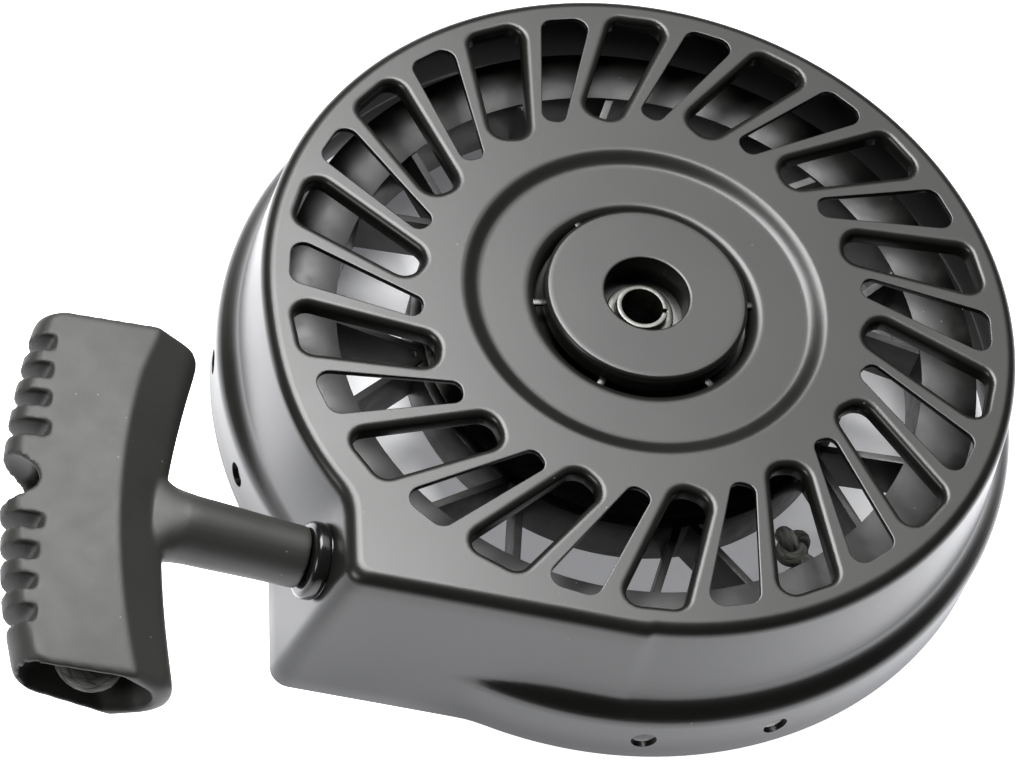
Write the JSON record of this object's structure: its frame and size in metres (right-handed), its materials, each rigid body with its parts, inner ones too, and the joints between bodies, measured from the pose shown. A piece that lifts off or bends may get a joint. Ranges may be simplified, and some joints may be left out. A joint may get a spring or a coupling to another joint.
{
  "type": "recoil starter",
  "caption": "Recoil starter: round pressed steel cover with a swirled slot grille and a square rope corner, rope pulley and dogs inside, and a T-handle on a braided rope.",
  "frame": {"origin": "on the pulley's axis, in the plane of the skirt's lower edge", "axes": "+Z from the engine side towards the slotted face; the rope is pulled towards -X at the -Y side"},
  "size_m": [0.2384, 0.2278, 0.0502],
  "materials": {
    "black_steel": "satin black paint on pressed steel",
    "gloss_ring": "glossy black",
    "handle_plastic": "fine matte grain",
    "pulley_plastic": "moulded, slightly satin",
    "braid": "braided nylon",
    "zinc_steel": "zinc plated",
    "spring_steel": "oiled spring steel"
  },
  "bodies": {
    "cover": {"cover_face": "black_steel", "cover_wall": "black_steel", "skirt_rivets_1": "black_steel", "skirt_rivets_2": "black_steel", "skirt_rivets_3": "black_steel", "skirt_rivets_4": "black_steel", "skirt_plain_1": "black_steel", "skirt_plain_2": "black_steel", "skirt_plain_3": "black_steel", "skirt_plain_4": "black_steel", "hub_cap": "black_steel", "centre_post": "zinc_steel", "centre_pin": "zinc_steel", "post_washer": "zinc_steel", "brake_washer": "zinc_steel", "brake_spring": "spring_steel", "rope_eyelet": "gloss_ring", "rope_run": "braid"},
    "pulley": {"pulley": "pulley_plastic", "spring_keeper": "zinc_steel", "rewind_spring": "spring_steel", "rope_coil": "braid", "pulley_rope_knot": "braid", "dog_spring_1": "spring_steel", "dog_spring_2": "spring_steel"},
    "cam_plate": {"retainer": "zinc_steel"},
    "dog_1": {"dog_1": "zinc_steel"},
    "dog_2": {"dog_2": "zinc_steel"},
    "handle": {"handle": "handle_plastic", "rope_lead": "braid", "handle_rope_end": "braid"}
  },
  "joints": [
    {"name": "handle_pull", "type": "slide", "parent": "cover", "child": "handle", "axis": [-0.9724, -0.068, 0.2232], "range_m": [0, 1], "stiffness_N_per_m": 12, "springref_m": -1, "deforming": ["rope_lead"]},
    {"name": "pulley_spin", "type": "hinge", "parent": "cover", "child": "pulley", "pos_m": [0, 0, 0.0225], "axis": [0, 0, 1], "range_deg": [-750, 0], "deforming": ["rewind_spring"]},
    {"name": "cam_plate_turn", "type": "hinge", "parent": "pulley", "child": "cam_plate", "pos_m": [0, 0, 0.004], "axis": [0, 0, 1], "range_deg": [0, 24], "stiffness_Nm_per_rad": 0.02, "springref_deg": -17.19},
    {"name": "dog_1_swing", "type": "hinge", "parent": "pulley", "child": "dog_1", "pos_m": [0.022, 0, 0.008], "axis": [0, 0, 1], "range_deg": [0, 28]},
    {"name": "dog_2_swing", "type": "hinge", "parent": "pulley", "child": "dog_2", "pos_m": [-0.022, 0, 0.008], "axis": [0, 0, 1], "range_deg": [0, 28]}
  ],
  "couplings": [
    {"joint": "pulley_spin", "follows": "handle_pull", "rad_per_m": -12.771},
    {"joint": "dog_1_swing", "follows": "cam_plate_turn", "ratio": 1.1667},
    {"joint": "dog_2_swing", "follows": "cam_plate_turn", "ratio": 1.1667}
  ]
}
